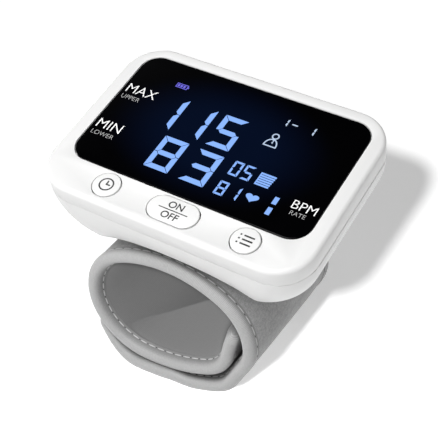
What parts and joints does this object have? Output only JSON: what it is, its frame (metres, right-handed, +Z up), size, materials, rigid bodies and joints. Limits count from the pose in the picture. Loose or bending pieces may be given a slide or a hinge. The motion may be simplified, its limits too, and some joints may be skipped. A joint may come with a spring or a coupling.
{
  "type": "wrist blood pressure monitor",
  "caption": "Wrist blood pressure monitor: a white rounded case with a black display panel and press buttons, tilted on a rolled grey fabric cuff that peels open.",
  "frame": {"origin": "middle of the whole object's footprint, on the surface that the rolled cuff stands on", "axes": "+Z up, +X to the reader's right along the display's long side, -Y towards the reader, so the display faces up and towards -Y"},
  "size_m": [0.088, 0.063, 0.083],
  "materials": {
    "white_plastic": "satin",
    "black_panel": "polished",
    "lcd_glass": "polished",
    "display_light": "lit",
    "clear_plastic": "satin",
    "grey_plastic": "moulded",
    "black_rubber": "matte",
    "green_board": "lacquered",
    "steel": "plain",
    "silicone": "matte",
    "cell_sleeve": "printed sleeve",
    "outer_fabric": "brushed loop",
    "lining_fabric": "knit",
    "binding_tape": "satin tape",
    "hook_tape": "hook",
    "foam": "foam"
  },
  "bodies": {
    "monitor_case": {"top_case": "white_plastic", "bottom_case": "white_plastic", "display_lens": "black_panel", "lcd_glass": "lcd_glass", "lcd_backlight": "display_light", "lcd_connector_strip": "black_rubber", "lcd_holder": "grey_plastic", "set_switch": "steel", "start_switch": "steel", "memory_switch": "steel", "main_board": "green_board", "board_screw_1": "steel", "board_screw_2": "steel", "case_screw_1": "steel", "case_screw_2": "steel", "case_screw_3": "steel", "buzzer": "black_rubber", "battery_1": "cell_sleeve", "battery_2": "cell_sleeve", "contact_positive": "steel", "contact_negative": "steel", "contact_bridge": "steel", "pump_motor": "steel", "pump_head": "grey_plastic", "release_valve": "grey_plastic", "pressure_sensor": "clear_plastic", "air_tee": "silicone", "pump_tube": "silicone", "valve_tube": "silicone", "sensor_tube": "silicone", "cuff_tube": "silicone", "cuff_nozzle": "silicone", "anchor_screw_1": "steel", "anchor_screw_2": "steel", "saddle_outer_fabric": "outer_fabric", "saddle_stiffener": "clear_plastic", "air_bladder": "silicone", "saddle_lining": "lining_fabric", "saddle_front_binding": "binding_tape", "saddle_rear_binding": "binding_tape"},
    "set_button": {"set_button": "white_plastic"},
    "start_button": {"start_button": "white_plastic"},
    "memory_button": {"memory_button": "white_plastic"},
    "battery_door": {"battery_door": "white_plastic"},
    "pump_crank": {"pump_crank": "steel"},
    "valve_plunger": {"valve_plunger": "steel"},
    "cuff_wrap": {"wrap_outer_fabric": "outer_fabric", "wrap_padding": "foam", "wrap_lining": "lining_fabric", "wrap_front_binding": "binding_tape", "wrap_rear_binding": "binding_tape", "wrap_end_binding": "binding_tape"},
    "cuff_flap": {"flap_outer_fabric": "outer_fabric", "flap_lining": "lining_fabric", "hook_patch": "hook_tape", "flap_front_binding": "binding_tape", "flap_rear_binding": "binding_tape", "flap_end_binding": "binding_tape"}
  },
  "joints": [
    {"name": "set_button_press", "type": "slide", "parent": "monitor_case", "child": "set_button", "axis": [0, 0.2419, -0.9703], "range_m": [0, 0.0005], "stiffness_N_per_m": 1500},
    {"name": "start_button_press", "type": "slide", "parent": "monitor_case", "child": "start_button", "axis": [0, 0.2419, -0.9703], "range_m": [0, 0.0005], "stiffness_N_per_m": 1500},
    {"name": "memory_button_press", "type": "slide", "parent": "monitor_case", "child": "memory_button", "axis": [0, 0.2419, -0.9703], "range_m": [0, 0.0005], "stiffness_N_per_m": 1500},
    {"name": "battery_door_slide", "type": "slide", "parent": "monitor_case", "child": "battery_door", "axis": [-1, 0, 0], "range_m": [0, 0.012]},
    {"name": "pump_crank_spin", "type": "hinge", "parent": "monitor_case", "child": "pump_crank", "pos_m": [0.0255, 0.00152, 0.06236], "axis": [0, 0.9703, 0.2419], "continuous": true},
    {"name": "valve_plunger_slide", "type": "slide", "parent": "monitor_case", "child": "valve_plunger", "axis": [0, -0.9703, -0.2419], "range_m": [0, 0.0008], "stiffness_N_per_m": 400},
    {"name": "flap_open", "type": "hinge", "parent": "monitor_case", "child": "cuff_flap", "pos_m": [0.02865, -0.00207, 0.02764], "axis": [0, -1, 0], "range_deg": [0, 75]},
    {"name": "wrap_open", "type": "hinge", "parent": "monitor_case", "child": "cuff_wrap", "pos_m": [-0.03159, -0.00207, 0.0254], "axis": [0, 1, 0], "range_deg": [0, 37.5]}
  ],
  "couplings": [
    {"joint": "wrap_open", "follows": "flap_open", "ratio": 0.5}
  ]
}
